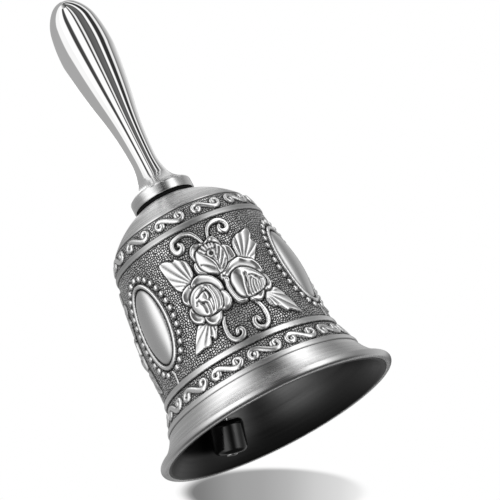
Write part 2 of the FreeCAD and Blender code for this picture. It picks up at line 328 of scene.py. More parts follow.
medallion = {
    "middle": 33.9, "halfWidth": 6.9, "halfHeight": 12.3, "rimWidth": 0.55, "rimRise": 0.55,
    "groove": 0.5, "domeRise": 1.5, "domeRound": 0.75,
    "beadWidth": 8.5, "beadHeight": 13.75, "beads": 30, "beadSize": 0.82, "beadRise": 0.66,
    "stem": [(-49.4, 20.6), (-48.2, 19.6), (-48.0, 18.0), (-48.6, 16.9)],
    "stemRise": 0.35, "stemWidth": 0.36,
}

# how far the forms of the bouquet stand up, in millimetres
bouquet = {
    "scrollRise": 0.72, "channel": 0.16,        # the channel runs along the middle of a scroll
    "leafBody": 0.34, "leafFold": 0.3, "leafEdge": 0.12, "foldRound": 0.45,
    "rimMiddle": 0.5, "rimReach": 0.7, "petalTurn": 0.42,
    "budRound": 0.75, "creaseDepth": 1.25, "creaseWidth": 1.5, "creaseRound": 1.3, "creaseReach": 0.9,
}

# scrolls of the bouquet: degrees round the bell and height, then half widths
bouquetScrolls = [
    ([(9.3, 46.4), (7.4, 48.4), (4.6, 50), (0, 50.7), (-5, 50.5), (-9, 49.9), (-10.4, 48.6), (-9.6, 47.2),
      (-7.2, 46.6), (-4.6, 47), (-3.9, 48), (-5.2, 48.7)],
     [0.35, 0.5, 0.6, 0.65, 0.7, 0.7, 0.7, 0.75, 0.8, 0.8, 0.72, 0.6]),
    ([(14.3, 47), (16.3, 49), (19.3, 50.2), (24, 50.7), (28, 50.4), (30.6, 49.3), (30.4, 47.9), (28, 47.1),
      (25.3, 47.3), (24.4, 48.2), (25.4, 48.9)],
     [0.35, 0.5, 0.6, 0.65, 0.68, 0.68, 0.7, 0.72, 0.72, 0.66, 0.6]),
    ([(-0.8, 25), (-2.4, 23.4), (-3.1, 21.2), (-2.6, 19.4), (-0.6, 18.2), (2.4, 17.9), (5.2, 18.4),
      (6.2, 19.5), (5, 20.4), (3, 20.3), (2.4, 19.6)],
     [0.4, 0.5, 0.6, 0.62, 0.64, 0.64, 0.62, 0.6, 0.6, 0.58, 0.55]),
    ([(21.3, 25.8), (23.2, 24.2), (24, 22.2), (23.6, 20.2), (21.8, 18.7), (18.5, 18.1), (15.4, 18.7),
      (14.4, 20), (15.4, 21.2), (17.4, 21.2), (18.2, 20.4)],
     [0.4, 0.5, 0.6, 0.62, 0.64, 0.64, 0.62, 0.6, 0.6, 0.58, 0.55]),
]

# leaves: outline, then the point that the pleats fan out from and how many there are
leaves = [
    ([(-8.5, 37.6), (-5.3, 39.3), (-4.9, 41.5), (-6, 43.6), (-9.5, 44.9), (-12, 45.7), (-14.2, 45.4),
      (-17, 46.2), (-21.5, 46.7), (-24.3, 46.2), (-23.5, 43.5), (-22, 41), (-21, 39.3), (-19.3, 37.5),
      (-16.5, 36.6), (-12, 36.6)], (-7.2, 36.6), 7),
    ([(27.3, 37.6), (25.3, 39.3), (25.9, 41.8), (28, 43.7), (32, 44.9), (36, 45.2), (40, 45.8),
      (43.6, 45.9), (44.6, 44.6), (43, 43.2), (41.4, 42.2), (44, 41), (43.6, 40.3), (40, 38.9),
      (37.3, 37.2), (34.5, 36.2), (30, 36.6)], (26.4, 36.6), 7),
    ([(-10.2, 26.4), (-15, 26.7), (-18.5, 26), (-22.5, 23.7), (-25, 21.9), (-27, 20), (-22.5, 20),
      (-19.5, 20.2), (-15.3, 20), (-12.7, 21.9), (-11.8, 21), (-10.3, 20.9), (-8.6, 22), (-6.6, 23.9),
      (-8, 25.4)], (-8.4, 26.4), 6),
    ([(30.2, 26.8), (34, 27.3), (37, 27.6), (40, 26.7), (43, 24.4), (45.5, 21.6), (47.8, 18.9),
      (44.5, 19.2), (40.5, 20.1), (37.5, 20), (35.5, 20.9), (33.5, 22), (30.8, 22.2), (28.6, 23.3),
      (28.2, 25.2)], (29, 26.8), 6),
]

# petals from the back of each flower to its front: outline, height in the middle, height of the rolled rim
petals = [
    ([(10, 45.6), (7.8, 46.2), (4, 46.8), (1, 46.5), (-1.4, 45.4), (-2.4, 43.9), (-1.2, 42.6), (0.5, 40.5),
      (6, 40.5)], 0.4, 0.45),
    ([(9.2, 45.8), (12.5, 46.6), (15.5, 47), (18.3, 46.3), (19.7, 44.8), (19.6, 43.2), (18, 40.5),
      (12, 40.5)], 0.4, 0.45),
    ([(0.5, 42.1), (-2.2, 41.8), (-3.6, 40.6), (-3, 38.8), (-1, 37.8), (3, 37.6)], 0.5, 0.4),
    ([(18.5, 43.7), (21.5, 43.3), (24.3, 42.2), (24.9, 40.2), (24.4, 38.7), (21.5, 37.8),
      (17, 37.8)], 0.5, 0.35),
    ([(-17, 32.3), (-19.2, 33.6), (-18.4, 35.6), (-15, 36.9), (-9, 37.2), (-8, 33), (-13, 31)], 0.45, 0.5),
    ([(-10.6, 36.9), (-7.5, 38), (-3.5, 38.5), (0.5, 38), (4.8, 36.6), (7.6, 34.4), (7.9, 32.4), (6, 30.8),
      (-2, 32), (-8, 34)], 0.55, 0.5),
    ([(-14.4, 31.9), (-17.6, 31.3), (-19.4, 29.6), (-18.6, 27.6), (-15.6, 26.4), (-12, 26.2), (-9, 29)],
     0.45, 0.5),
    ([(-0.6, 27.2), (3, 26.6), (6.5, 26.9), (9, 28.2), (9.4, 29.8), (7.4, 31.6), (3, 31.8), (0, 29)],
     0.45, 0.45),
    ([(-11.4, 27.6), (-11.3, 25.9), (-9, 24.5), (-5.4, 24), (-2, 24.7), (-0.3, 26), (0, 27.8), (-5, 29.2)],
     0.6, 0.35),
    ([(8.8, 34.4), (9.2, 35.9), (11.6, 37.2), (16, 37.9), (21.5, 38.5), (25.4, 38.6), (29, 37.6),
      (33, 36.8), (35.6, 35), (36, 32.8), (34, 31), (31, 30.6), (27, 34), (19, 35), (13, 34)], 0.55, 0.5),
    ([(9.6, 35.4), (9.4, 33.4), (8.7, 31.6), (9.4, 28.9), (11, 27), (14.5, 26.1), (18, 26.7), (17, 30),
      (14, 34)], 0.5, 0.55),
    ([(30, 27.9), (32.4, 27), (35, 27.2), (37.2, 28.4), (37.4, 30.2), (35.9, 31.8),
      (33, 31.8)], 0.45, 0.4),
    ([(18.6, 27.4), (19.6, 26), (22.5, 25.2), (26, 25.2), (28.8, 26.3), (30.1, 27.8),
      (25, 29.2)], 0.6, 0.35),
]

# buds: outline and rise, then the creases between one petal and the next, with depth, width and how far
# the left side of a crease, seen along its points, stands above its right side
buds = [
    ([(2.2, 44.6), (0.3, 43.2), (-0.2, 41.2), (0.4, 39.4), (3, 37.8), (7, 36.7), (10.2, 36.1),
      (13.6, 36.7), (17.2, 37.9), (19.2, 39.4), (20, 41.4), (19.6, 43.1), (18, 44.3), (14, 45.3),
      (10, 45.6), (6, 45.3)], 1.25, [
        ([(10.9, 36.4), (10.7, 39.2), (9.1, 40.9), (6.2, 42.8), (3.4, 44.4)], 0.3, 0.28, 0.5),
        ([(9.6, 37.6), (6.2, 39.1), (3.2, 40.1), (1, 40.4)], 0.2, 0.24, 0.16),
        ([(18.8, 39.8), (15, 38.4), (11.6, 37)], 0.22, 0.24, -0.15),
        ([(19.4, 42.2), (15.6, 40), (11.6, 38)], 0.24, 0.24, -0.2),
        ([(17.9, 43.8), (14.9, 41.6), (11.8, 39.8)], 0.26, 0.24, -0.2),
        ([(15.8, 44.3), (13.6, 42.2), (12.6, 41.2)], 0.24, 0.24, -0.2)]),
    ([(-15.5, 31), (-15.2, 33), (-12.4, 34.9), (-7.6, 36), (-2.5, 35.9), (1.8, 34.8), (4.2, 32.8),
      (4.7, 30.8), (3.3, 28.6), (0.3, 27.2), (-4, 26.9), (-8.6, 27.2), (-12.3, 28.3),
      (-14.6, 29.7)], 1.7, [
        ([(-3.4, 34.9), (-2, 33.2), (-1.4, 31.2), (-2.2, 29.1), (-4.6, 27.1)], 0.34, 0.26, 0.12),
        ([(-0.4, 34.7), (1, 32.8), (1.4, 30.8), (0.4, 28.8), (-2, 27.1)], 0.3, 0.24, 0.16),
        ([(1.6, 34.6), (3.2, 32.9), (3.5, 30.9), (2.5, 29.1), (0.4, 27.4)], 0.26, 0.22, 0.14),
        ([(-10.6, 32.5), (-8.4, 32.9), (-6, 33.4), (-3.6, 33.6), (-2.5, 32.8), (-2.6, 31.6), (-5, 30.8)],
         0.36, 0.24, -0.3),
        ([(-9.8, 32.3), (-8.4, 31.3), (-6.6, 30.8), (-5, 30.8)], 0.28, 0.22, 0.3),
        ([(-5.2, 30.8), (-4.9, 29.2), (-5.6, 27.1)], 0.3, 0.24, 0.1),
        ([(-8.2, 31.2), (-7, 29.9), (-7.8, 27.6)], 0.3, 0.24, 0.1),
        ([(-10.6, 32.3), (-11.2, 31.4), (-12.6, 30.8)], 0.2, 0.22, -0.1),
        ([(-14, 31.6), (-12.9, 33), (-10.4, 34.3), (-6.2, 35), (-2.8, 35)], 0.18, 0.24, -0.12)]),
    ([(13, 31), (13, 33), (15, 34.8), (18, 35.6), (22.5, 35.9), (28, 34.9), (32, 33.2), (34.5, 31.2),
      (34.6, 29.6), (31.5, 28.1), (26, 27.2), (18.5, 27), (15, 28), (13.3, 29.6)], 1.7, [
        ([(22.8, 34.1), (21.7, 31.9), (20.1, 30), (19.2, 27.1)], 0.34, 0.26, -0.28),
        ([(22.9, 32.6), (21.9, 30.8), (20.7, 29), (20.5, 27.1)], 0.26, 0.2, 0),
        ([(25.2, 32.2), (23.4, 30.8), (22.1, 29.2), (22, 27.2)], 0.3, 0.22, -0.1),
        ([(26.6, 31.2), (24.9, 30.6), (23.9, 29.2), (24, 27.3)], 0.26, 0.22, 0),
        ([(23.8, 32.5), (26.6, 32.6), (30.2, 31.5), (33.6, 30.5)], 0.32, 0.24, 0.24),
        ([(27.4, 31.9), (29.6, 31), (30.3, 29.5), (29, 27.7)], 0.26, 0.22, 0.1),
        ([(30.2, 31.1), (31.6, 30), (31.2, 28.3)], 0.22, 0.2, 0.1),
        ([(27, 30.9), (25.9, 29.4), (26.6, 27.6)], 0.22, 0.2, 0),
        ([(28.3, 30.3), (28.4, 29), (27.7, 27.6)], 0.2, 0.2, 0)]),
]

# the open heart of the top flower: little rounded inner petals and a round boss in a ring
heart = {
    "boss": (10.8, 42.1, 0.62), "bossRise": 0.12, "ringRise": 0.4,
    "curls": [[(4.9, 44.3), (7, 42.9)], [(7.6, 44.9), (8.5, 43.7)], [(10, 45), (10.3, 43.9)],
              [(12.3, 44.9), (12, 43.8)], [(14.2, 44.8), (13.7, 43.7)]],
    "curlWidth": 0.42, "curlRise": 0.42,
}


class Panel:
    # a patch of the unrolled wall: x is millimetres round the bell, y is height
    def __init__(self, x, y):
        self.x, self.y = x, y
        self.height = np.zeros_like(x)

    def nearest(self, curve):
        # distance to a curve, how far along it the nearest point is, and which side: + is left of its way
        best = np.full(self.x.shape, 1e9)
        along = np.zeros_like(best)
        side = np.ones_like(best)
        count = len(curve) - 1
        for k, (a, b) in enumerate(zip(curve, curve[1:])):
            step = b - a
            size = max(step @ step, 1e-12)
            t = np.clip(((self.x - a[0]) * step[0] + (self.y - a[1]) * step[1]) / size, 0, 1)
            dx, dy = self.x - a[0] - t * step[0], self.y - a[1] - t * step[1]
            distance = np.hypot(dx, dy)
            closer = distance < best
            best[closer] = distance[closer]
            along[closer] = ((k + t) / count)[closer]
            side[closer] = np.sign(step[0] * dy - step[1] * dx)[closer]
        return best, along, side

    def inside(self, outline):
        # distance in from the smooth closed curve round an outline, negative outside it
        curve = smoothCurve(np.vstack([outline, outline[:1]]), fineness=6)
        distance, _, _ = self.nearest(curve)
        crossings = np.zeros(self.x.shape, int)
        for a, b in zip(curve, curve[1:]):
            if a[1] == b[1]:
                continue
            spans = (self.y < max(a[1], b[1])) & (self.y >= min(a[1], b[1]))
            crossings += spans & (self.x < a[0] + (self.y - a[1]) * (b[0] - a[0]) / (b[1] - a[1]))
        return np.where(crossings % 2 == 1, distance, -distance)

    def over(self, height):
        self.height = np.maximum(self.height, height)

    def lay(self, inward, height, groove=0.45):
        # a form laid over what is there, with a groove pressed in along its outline
        near = np.exp(-(np.clip(-inward, 0, None) / 0.26) ** 2)
        self.height = np.where(inward > 0, height, self.height * (1 - groove * near))


def rounded(distance, width):
    return np.sqrt(np.clip(1 - (distance / width) ** 2, 0, 1))


def ramp(value, low, high):
    t = np.clip((value - low) / (high - low), 0, 1)
    return t * t * (3 - 2 * t)


def leafHeights(panel, toPanel, outline, foot, pleats):
    inward = panel.inside(toPanel(outline))
    fx, fy = toPanel([foot])[0]
    heading = np.arctan2(panel.y - fy, panel.x - fx)
    shape = np.array(toPanel(outline))
    headings = np.arctan2(shape[:, 1] - fy, shape[:, 0] - fx)
    middle = math.atan2(np.sin(headings).mean(), np.cos(headings).mean())
    swing = (heading - middle + math.pi) % (2 * math.pi) - math.pi
    widest = np.abs((headings - middle + math.pi) % (2 * math.pi) - math.pi).max()
    fold = np.abs(np.sin(swing / widest * pleats * math.pi / 2)) ** bouquet["foldRound"]
    reach = ramp(np.hypot(panel.x - fx, panel.y - fy), 0.8, 3.0)
    edge = bouquet["leafEdge"] * ramp(inward, 0.5, 0.0)
    panel.over((bouquet["leafBody"] + bouquet["leafFold"] * fold * reach + edge) * ramp(inward, 0.0, 0.3))


def budHeights(panel, toPanel, outline, rise, creases):
    inward = panel.inside(toPanel(outline))
    depth = np.clip(inward / inward.max(), 0, 1)
    dome = rise * (0.25 + 0.75 * (1 - (1 - depth) ** 2) ** bouquet["budRound"])
    for points, cut, width, lift in creases:
        distance, along, side = panel.nearest(smoothCurve(toPanel(points)))
        ends = ramp(along, -0.02, 0.14) * ramp(along, 1.02, 0.86)
        step = lift / 2 * np.exp(-distance / bouquet["creaseReach"]) * side * ramp(distance, 0.0, 0.16)
        spreadOut = distance / width / bouquet["creaseWidth"]
        crease = bouquet["creaseDepth"] * cut * np.exp(-spreadOut ** bouquet["creaseRound"])
        dome = dome + ends * (step - crease)
    panel.lay(inward, np.maximum(dome, 0.15) * (0.5 + 0.5 * ramp(inward, 0.0, 0.3)), 0.6)


def heartHeights(panel, toPanel):
    x, y = toPanel([heart["boss"][:2]])[0]
    boss = np.hypot(panel.x - x, panel.y - y)
    size = heart["boss"][2]
    ring = heart["ringRise"] * np.exp(-((boss - size * 1.45) / 0.24) ** 2)
    panel.height += ring - 0.3 * rounded(boss, size * 1.1)
    panel.height += heart["bossRise"] * rounded(boss, size)
    width = heart["curlWidth"]
    for points in heart["curls"]:
        distance, _, _ = panel.nearest(smoothCurve(toPanel(points)))
        gap = 0.5 * np.exp(-((distance - width * 1.15) / 0.16) ** 2)
        panel.height += heart["curlRise"] * (rounded(distance, width) - gap)


def bouquetHeights(panel, toPanel):
    for points, widths in bouquetScrolls:
        distance, along, _ = panel.nearest(smoothCurve(toPanel(points)))
        width = np.interp(along, np.linspace(0, 1, len(widths)), widths)
        channel = bouquet["channel"] * np.exp(-(distance / 0.16) ** 2) * ramp(along, 0.9, 0.6)
        panel.over((bouquet["scrollRise"] * rounded(distance, width) - channel) * (distance < width))
    for outline, foot, pleats in leaves:
        leafHeights(panel, toPanel, outline, foot, pleats)
    for outline, body, rim in petals:
        inward = panel.inside(toPanel(outline))
        fromRim = np.maximum(inward - bouquet["rimMiddle"], 0) / bouquet["rimReach"]
        height = body + rim * np.exp(-fromRim ** 2)
        panel.lay(inward, height * (0.3 + 0.7 * ramp(inward, 0.0, bouquet["petalTurn"])))
    for outline, rise, creases in buds:
        budHeights(panel, toPanel, outline, rise, creases)
    heartHeights(panel, toPanel)


def medallionHeights(panel, toPanel):
    m = medallion
    turns = np.linspace(0, 2 * math.pi, 721)

    def oval(halfWidth, halfHeight):
        return np.column_stack([halfWidth * np.sin(turns), m["middle"] + halfHeight * np.cos(turns)])

    rim = m["rimWidth"]
    ring = oval(m["halfWidth"] - rim, m["halfHeight"] - rim)
    distance, _, _ = panel.nearest(ring[::8])
    panel.over(m["rimRise"] * rounded(distance, rim))
    reach = 2 * rim + m["groove"]
    out = np.hypot(panel.x / (m["halfWidth"] - reach), (panel.y - m["middle"]) / (m["halfHeight"] - reach))
    panel.over(m["domeRise"] * np.clip(1 - out ** 2, 0, 1) ** m["domeRound"])
    beadLine = oval(m["beadWidth"], m["beadHeight"])
    lengths = np.concatenate([[0], np.cumsum(np.hypot(*np.diff(beadLine, axis=0).T))])
    for k in range(m["beads"]):
        if k == m["beads"] // 2:       # the stem takes the lowest bead's place
            continue
        at = lengths[-1] * k / m["beads"]
        cx, cy = (np.interp(at, lengths, beadLine[:, axis]) for axis in (0, 1))
        panel.over(m["beadRise"] * rounded(np.hypot(panel.x - cx, panel.y - cy), m["beadSize"]))
    distance, _, _ = panel.nearest(smoothCurve(toPanel(m["stem"])))
    panel.over(m["stemRise"] * rounded(distance, m["stemWidth"]))


def bandHeights(degrees, heights, band):
    # S scrolls at an even pitch; the half turn of one half makes the other
    local = (degrees - band["offset"] + band["pitch"] / 2) % band["pitch"] - band["pitch"] / 2
    x = np.radians(local) * band["radius"] / band["scale"][0]
    y = (heights - band["middle"]) / band["scale"][1]
    right = smoothCurve(scroll["half"])
    raised = np.zeros_like(x)
    for sign in (1, -1):
        panel = Panel(x * sign, y * sign)
        distance, along, _ = panel.nearest(right)
        width = np.interp(along, np.linspace(0, 1, len(scroll["width"])), scroll["width"])
        raised = np.maximum(raised, scroll["rise"] * rounded(distance, width))
    return raised


def softened(field, reachDown, reachRound):
    # a Gaussian blur that wraps round the bell
    for axis, reach in ((0, reachDown), (1, reachRound)):
        span = np.arange(-int(3 * reach) - 1, int(3 * reach) + 2)
        weights = np.exp(-(span / reach) ** 2 / 2)
        weights /= weights.sum()
        if axis == 1:
            field = sum(w * np.roll(field, k, 1) for k, w in zip(span, weights))
        else:
            padded = np.pad(field, ((len(span), len(span)), (0, 0)), mode="edge")
            rows = np.arange(field.shape[0]) + len(span)
            field = sum(w * padded[rows + k] for k, w in zip(span, weights))
    return field


def castRelief(height, degrees):
    # height of the relief above the wall over one third of the bell, and where the bare ground shows
    perDegree = math.radians(1) * bell["panelRadius"]

    def around(middle):
        return lambda points: np.array([((a - middle) * perDegree, z) for a, z in points])

    rows = (height > bell["relief"][0]) & (height < bell["relief"][1])
    turnGrid, heightGrid = np.meshgrid(degrees, height[rows])
    flowers = Panel(turnGrid * perDegree, heightGrid)
    bouquetHeights(flowers, around(bell["turn"]))
    ovals = Panel(((turnGrid + 120) % 120 - 60) * perDegree, heightGrid)
    medallionHeights(ovals, around(bell["turn"] - 60))
    raised = np.zeros((len(height), len(degrees)))
    raised[rows] = np.maximum(flowers.height, ovals.height)
    for band in (scroll["lower"], scroll["upper"]):
        zone = (height > band["zone"][0]) & (height < band["zone"][1])
        raised[zone] = bandHeights(*np.meshgrid(degrees, height[zone]), band)
    ground = (raised < 0.02).astype(float)
    for middle, half, rise in bell["ridges"]:
        raised = np.maximum(raised, rise * rounded(height - middle, half)[:, None])
    return raised, ground


def patinaMasks(raised, cut, height):
    # hollows hold the dark patina and the crests are worn bright
    hollow = softened(raised, *patina["fineReach"]) - raised
    worn = np.clip(-hollow / patina["crest"], 0, 1)
    recess = np.clip(hollow / patina["fineDepth"], 0, 1)
    broad = softened(raised, *patina["broadReach"]) - raised
    recess = np.maximum(recess, np.clip(broad / patina["broadDepth"], 0, 1) * patina["broadShare"])
    recess = np.clip(recess + np.clip(cut / patina["cutDepth"], 0, 1)[:, None], 0, 1)
    fromRidge = (height - bell["ridges"][2][0]) / patina["topRidgeWidth"]
    return np.maximum(recess, patina["topRidge"] * np.exp(-fromRidge ** 2)[:, None]), worn


def gridMesh(name, grid):
    # a mesh of four-sided faces that closes on itself both ways round
    count, columns, _ = grid.shape
    index = np.arange(count * columns).reshape(count, columns)
    nextRow = np.roll(index, -1, axis=0)
    corners = [index, np.roll(index, -1, 1), np.roll(nextRow, -1, 1), nextRow]
    faces = np.stack(corners, axis=-1).reshape(-1, 4)
    mesh = bpy.data.meshes.new(name)
    mesh.vertices.add(count * columns)
    mesh.vertices.foreach_set("co", grid.astype(np.float32).ravel())
    mesh.loops.add(faces.size)
    mesh.loops.foreach_set("vertex_index", faces.astype(np.int32).ravel())
    mesh.polygons.add(len(faces))
    mesh.polygons.foreach_set("loop_start", np.arange(0, faces.size, 4, dtype=np.int32))
    mesh.polygons.foreach_set("use_smooth", np.ones(len(faces), bool))
    mesh.update(calc_edges=True)
    mesh.validate()
    return mesh


def makeBell():
    outline = outlinePoints(bell["outer"])
    radius, height = outline.T
    slope = np.gradient(outline, axis=0)
    slope /= np.hypot(*slope.T)[:, None]
    outward = np.column_stack([slope[:, 1], -slope[:, 0]])
    columns = bell["columns"]
    period = columns // 3
    degrees = (np.arange(period) - period // 2) * 360.0 / columns   # 0 is the middle of the bouquet
    raised, ground = castRelief(height, degrees)
    cut = sum(depth * np.exp(-((height - middle) / half) ** 2) for middle, half, depth in bell["cuts"])
    raised = np.tile(raised - cut[:, None], (1, 3))
    print("relief raised by up to", round(float(raised.max()), 2), "mm")

    # the sandy ground also lies in the surface itself, finer than the eye counts
    random = np.random.default_rng(bell["sandSeed"])
    sandRows = (height > bell["sand"][0]) & (height < bell["sand"][1])
    for middle, half, _ in bell["ridges"]:
        sandRows = sandRows & (np.abs(height - middle) > half)
    sandy = sandRows[:, None] * np.tile(ground, (1, 3))
    sand = softened(random.normal(0, 1, raised.shape), 0.6, 0.6)
    surface = raised + bell["sandRise"] * sand * softened(sandy, 1.0, 1.0)
    recess, worn = patinaMasks(raised, cut, height)

    turns = np.radians(np.arange(columns) * 360.0 / columns - period // 2 * 360.0 / columns + bell["turn"])
    r = radius[:, None] + outward[:, :1] * surface
    z = height[:, None] + outward[:, 1:] * surface
    outer = np.stack([r * np.sin(turns), -r * np.cos(turns), z + 0 * turns], axis=-1)
    innerOutline = outlinePoints(bell["inner"])
    ri, zi = innerOutline[:, :1], innerOutline[:, 1:]
    inner = np.stack([ri * np.sin(turns), -ri * np.cos(turns), zi + 0 * turns], axis=-1)
    mesh = gridMesh("bellCasting", np.concatenate([outer, inner]) * mm)

    # which finish each row of faces has: 0 relief, 1 brushed bands, 2 inside
    finish = np.where((height < bell["brushed"][0]) | (height > bell["brushed"][1]), 1, 0)
    finish = np.concatenate([finish, np.full(len(inner), 2)])
    finish[-2:] = 1
    mesh.polygons.foreach_set("material_index", np.repeat(finish, columns).astype(np.int32))
    masks = {"recess": recess, "worn": worn, "sandy": softened(sandy, 0.8, 0.8)}
    for name, values in masks.items():
        values = np.concatenate([values, np.zeros((len(inner), columns))])
        layer = mesh.attributes.new(name, "FLOAT", "POINT")
        layer.data.foreach_set("value", values.astype(np.float32).ravel())
    # where each point lies on the unrolled wall, in metres, for the grain
    wall = np.zeros((len(outer) + len(inner), columns, 3))
    wall[..., 0] = turns * bell["panelRadius"] * mm
    wall[1:len(outer), :, 1] = np.cumsum(np.hypot(*np.diff(outline, axis=0).T))[:, None] * mm
    layer = mesh.attributes.new("wall", "FLOAT_VECTOR", "POINT")
    layer.data.foreach_set("vector", wall.astype(np.float32).ravel())
    piece = bpy.data.objects.new("bellCasting", mesh)
    bpy.context.collection.objects.link(piece)
    print("casting:", len(mesh.polygons), "faces")
    return piece


def antiqueSilver():
    finish = {"bright": 0.97, "metal": 0.76, "dull": 0.56, "grain": 0.8, "gap": 0.004, "patina": 0.008,
              "polish": 0.22, "smudged": 0.3, "groundRough": 0.32, "patinaRough": 0.6,
              "sandBump": 0.0001, "hairBump": 0.00001}
    material, tree, shader = newMaterial("antiqueSilver", Metallic=1.0)
    recess, worn, sandy = (put(tree, "Attribute", attribute_name=name).outputs["Fac"]
                           for name in ("recess", "worn", "sandy"))
    wall = put(tree, "Attribute", attribute_name="wall").outputs["Vector"]
    grain = useGroup(tree, castGrain, {"Place": wall})
    marks = useGroup(tree, handlingMarks)
    ground = blendTones(tree, grain["Grain"], finish["gap"], finish["grain"])
    ground = blendTones(tree, times(tree, grain["Bright"], grain["Grain"]), ground, finish["bright"])
    smudged = times(tree, marks["Smudge"], finish["smudged"])
    metal = blendTones(tree, smudged, finish["metal"], finish["dull"])
    metal = blendTones(tree, worn, metal, finish["bright"])
    tone = blendTones(tree, sandy, metal, ground)
    tone = blendTones(tree, times(tree, recess, 0.96), tone, finish["patina"])
    smooth = spread(tree, marks["Smudge"], 0, 1, finish["polish"], finish["polish"] + 0.08)
    for mask, value in ((sandy, finish["groundRough"]), (recess, finish["patinaRough"])):
        smooth = put(tree, "Mix", {"Factor": mask, "A": smooth, "B": value}).outputs[0]
    giveSurface(tree, shader, tone, smooth)
    sand = times(tree, grain["Grain"], sandy)
    normal = bump(tree, shader, sand, finish["sandBump"])
    hair = times(tree, marks["Scratch"], mathNode(tree, "SUBTRACT", 1.0, sandy))
    bump(tree, shader, hair, finish["hairBump"], 0.4, normal)
    return material


def turnedMaterial(name, anisotropy):
    # brushing that runs round the axis and spreads the light up and down
    material, tree, shader = newMaterial(name, Metallic=1.0, Anisotropic=anisotropy,
                                         **{"Anisotropic Rotation": 0.25})
    around = put(tree, "Tangent", direction_type="RADIAL", axis="Z").outputs[0]
    tree.links.new(around, shader.inputs["Tangent"])
    return material, tree, shader


def brushedSilver(name="brushedSilver", tones=(0.9, 0.7), rough=(0.22, 0.36), fineness=2600.0):
    material, tree, shader = turnedMaterial(name, 0.8)
    lines = useGroup(tree, turnedLines, {"Fineness": fineness})
    marks = useGroup(tree, handlingMarks)
    tone = blendTones(tree, spread(tree, lines["Streaks"], 0.3, 0.7), tones[0], tones[1])
    tone = blendTones(tree, times(tree, marks["Smudge"], 0.2), tone, tones[1] * 0.8)
    giveSurface(tree, shader, tone, spread(tree, lines["Lines"], 0.25, 0.75, *rough))
    bump(tree, shader, lines["Lines"], 0.00003, 0.35)
    return material


def insideSilver():
    # the bore is satin and darker in tone than the outside; towards the mouth, between heights "clear" and
    # "mouth", its colour is darkened further as painted shade
    finish = {"bright": 0.3, "dull": 0.2, "streak": 0.15, "dark": 0.07, "clear": 0.018, "mouth": 0.005,
              "rough": (0.3, 0.42)}
    material, tree, shader = newMaterial("insideSilver", Metallic=1.0)
    lines = useGroup(tree, turnedLines, {"Fineness": 1400.0})
    marks = useGroup(tree, handlingMarks, {"Smudges": 50.0})
    tone = blendTones(tree, marks["Smudge"], finish["bright"], finish["dull"])
    streaks = spread(tree, lines["Streaks"], 0.3, 0.7, 0.0, 0.5)
    tone = blendTones(tree, streaks, tone, finish["streak"])
    # painted shade: the colour goes darker towards the mouth
    mouthShade = spread(tree, placeParts(tree)["Z"], finish["clear"], finish["mouth"])
    tone = blendTones(tree, mouthShade, tone, finish["dark"])
    giveSurface(tree, shader, tone, spread(tree, lines["Lines"], 0.2, 0.8, *finish["rough"]))
    bump(tree, shader, lines["Lines"], 0.00004, 0.3)
    return material


def polishedSilver():
    # mirror polish that turns into fine lathe marks at the foot, between heights "mirror" and "brushed"
    finish = {"bright": 0.92, "dull": 0.87, "footTone": 0.72, "brushed": 0.073, "mirror": 0.0785,
              "mirrorRough": 0.008, "footRough": 0.2, "wear": 0.02}
    material, tree, shader = turnedMaterial("polishedSilver", 0.85)
    marks = useGroup(tree, handlingMarks, {"Scratches": 900.0, "Smudges": 60.0})
    lines = useGroup(tree, turnedLines, {"Fineness": 3400.0})
    foot = spread(tree, placeParts(tree)["Z"], finish["mirror"], finish["brushed"])
    tone = blendTones(tree, marks["Smudge"], finish["bright"], grey(finish["dull"], 0.004))
    tone = blendTones(tree, times(tree, foot, lines["Streaks"]), tone, finish["footTone"])
    wear = times(tree, mathNode(tree, "ADD", marks["Smudge"], marks["Scratch"]), finish["wear"])
    rough = spread(tree, foot, 0.0, 1.0, finish["mirrorRough"], finish["footRough"])
    giveSurface(tree, shader, tone, mathNode(tree, "ADD", rough, wear))
    bump(tree, shader, times(tree, lines["Lines"], foot), 0.00002, 0.3)
    return material


def drawnSteel():
    finish = {"bright": 0.66, "dull": 0.42, "rough": (0.2, 0.34)}
    material, tree, shader = newMaterial("drawnSteel", Metallic=1.0)
    marks = useGroup(tree, handlingMarks, {"Scratches": 1500.0, "Smudges": 300.0})
    tone = blendTones(tree, marks["Smudge"], finish["bright"], finish["dull"])
    giveSurface(tree, shader, tone, spread(tree, marks["Scratch"], 0.0, 1.0, *finish["rough"]))
    bump(tree, shader, marks["Scratch"], 0.00001, 0.5)
    return material


def blackBob():
    finish = {"black": 0.006, "scratch": 0.03, "smudge": 0.012, "rough": (0.13, 0.24)}
    material, tree, shader = newMaterial("blackBob", Metallic=0.0, IOR=1.6)
    marks = useGroup(tree, handlingMarks, {"Scratches": 1100.0, "Smudges": 220.0})
    tone = blendTones(tree, marks["Scratch"], finish["black"], finish["scratch"])
    smudged = times(tree, marks["Smudge"], 0.6)
    tone = blendTones(tree, smudged, tone, finish["smudge"])
    giveSurface(tree, shader, tone, spread(tree, marks["Smudge"], 0.0, 1.0, *finish["rough"]))
    bump(tree, shader, marks["Scratch"], 0.00001, 0.5)
    return material


def blackRubber():
    finish = {"black": 0.002, "worn": 0.005, "grains": 5200.0, "rough": (0.6, 0.8)}
    material, tree, shader = newMaterial("blackRubber", Metallic=0.0, **{"Specular IOR Level": 0.12})
    grain = useGroup(tree, castGrain, {"Grains": finish["grains"], "Place": objectPlace(tree)})
    tone = blendTones(tree, grain["Drift"], finish["black"], finish["worn"])
    giveSurface(tree, shader, tone, spread(tree, grain["Grain"], 0.0, 1.0, *finish["rough"]))
    bump(tree, shader, grain["Grain"], 0.00003, 0.4)
    return material


